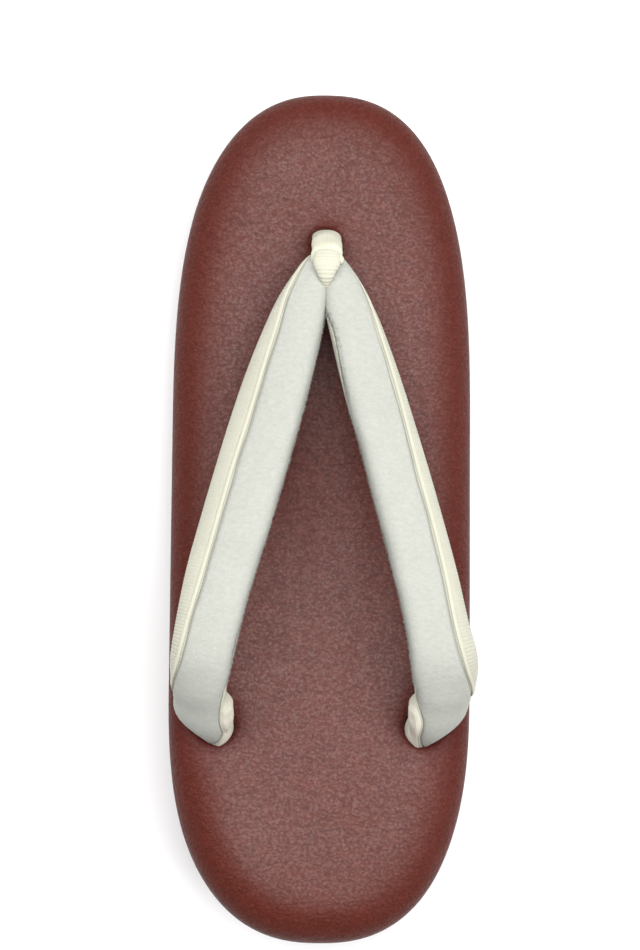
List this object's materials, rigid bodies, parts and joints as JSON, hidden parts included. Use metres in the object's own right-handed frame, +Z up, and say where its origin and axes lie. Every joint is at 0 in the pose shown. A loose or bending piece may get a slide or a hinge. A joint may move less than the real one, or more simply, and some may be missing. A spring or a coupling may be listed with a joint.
{
  "type": "zori sandal",
  "caption": "Zori sandal with a padded leather footbed on a low wedge, V-shaped padded straps and a fabric toe thong.",
  "frame": {"origin": "on the floor, under the middle of the sandal's length and width", "axes": "+X to the wearer's right, +Y towards the toe, +Z up"},
  "size_m": [0.085, 0.24, 0.0689],
  "materials": {
    "rubber": "matt with fine moulded tread",
    "brown_leather": "fine pebble grain with a soft sheen",
    "grey_suede": "napped suede",
    "cream_fabric": "fine ribbed velveteen"
  },
  "bodies": {
    "root": {"outsole": "rubber", "midsole": "brown_leather", "footbed": "brown_leather", "straps": "grey_suede", "toe_thong": "cream_fabric"}
  },
  "joints": []
}
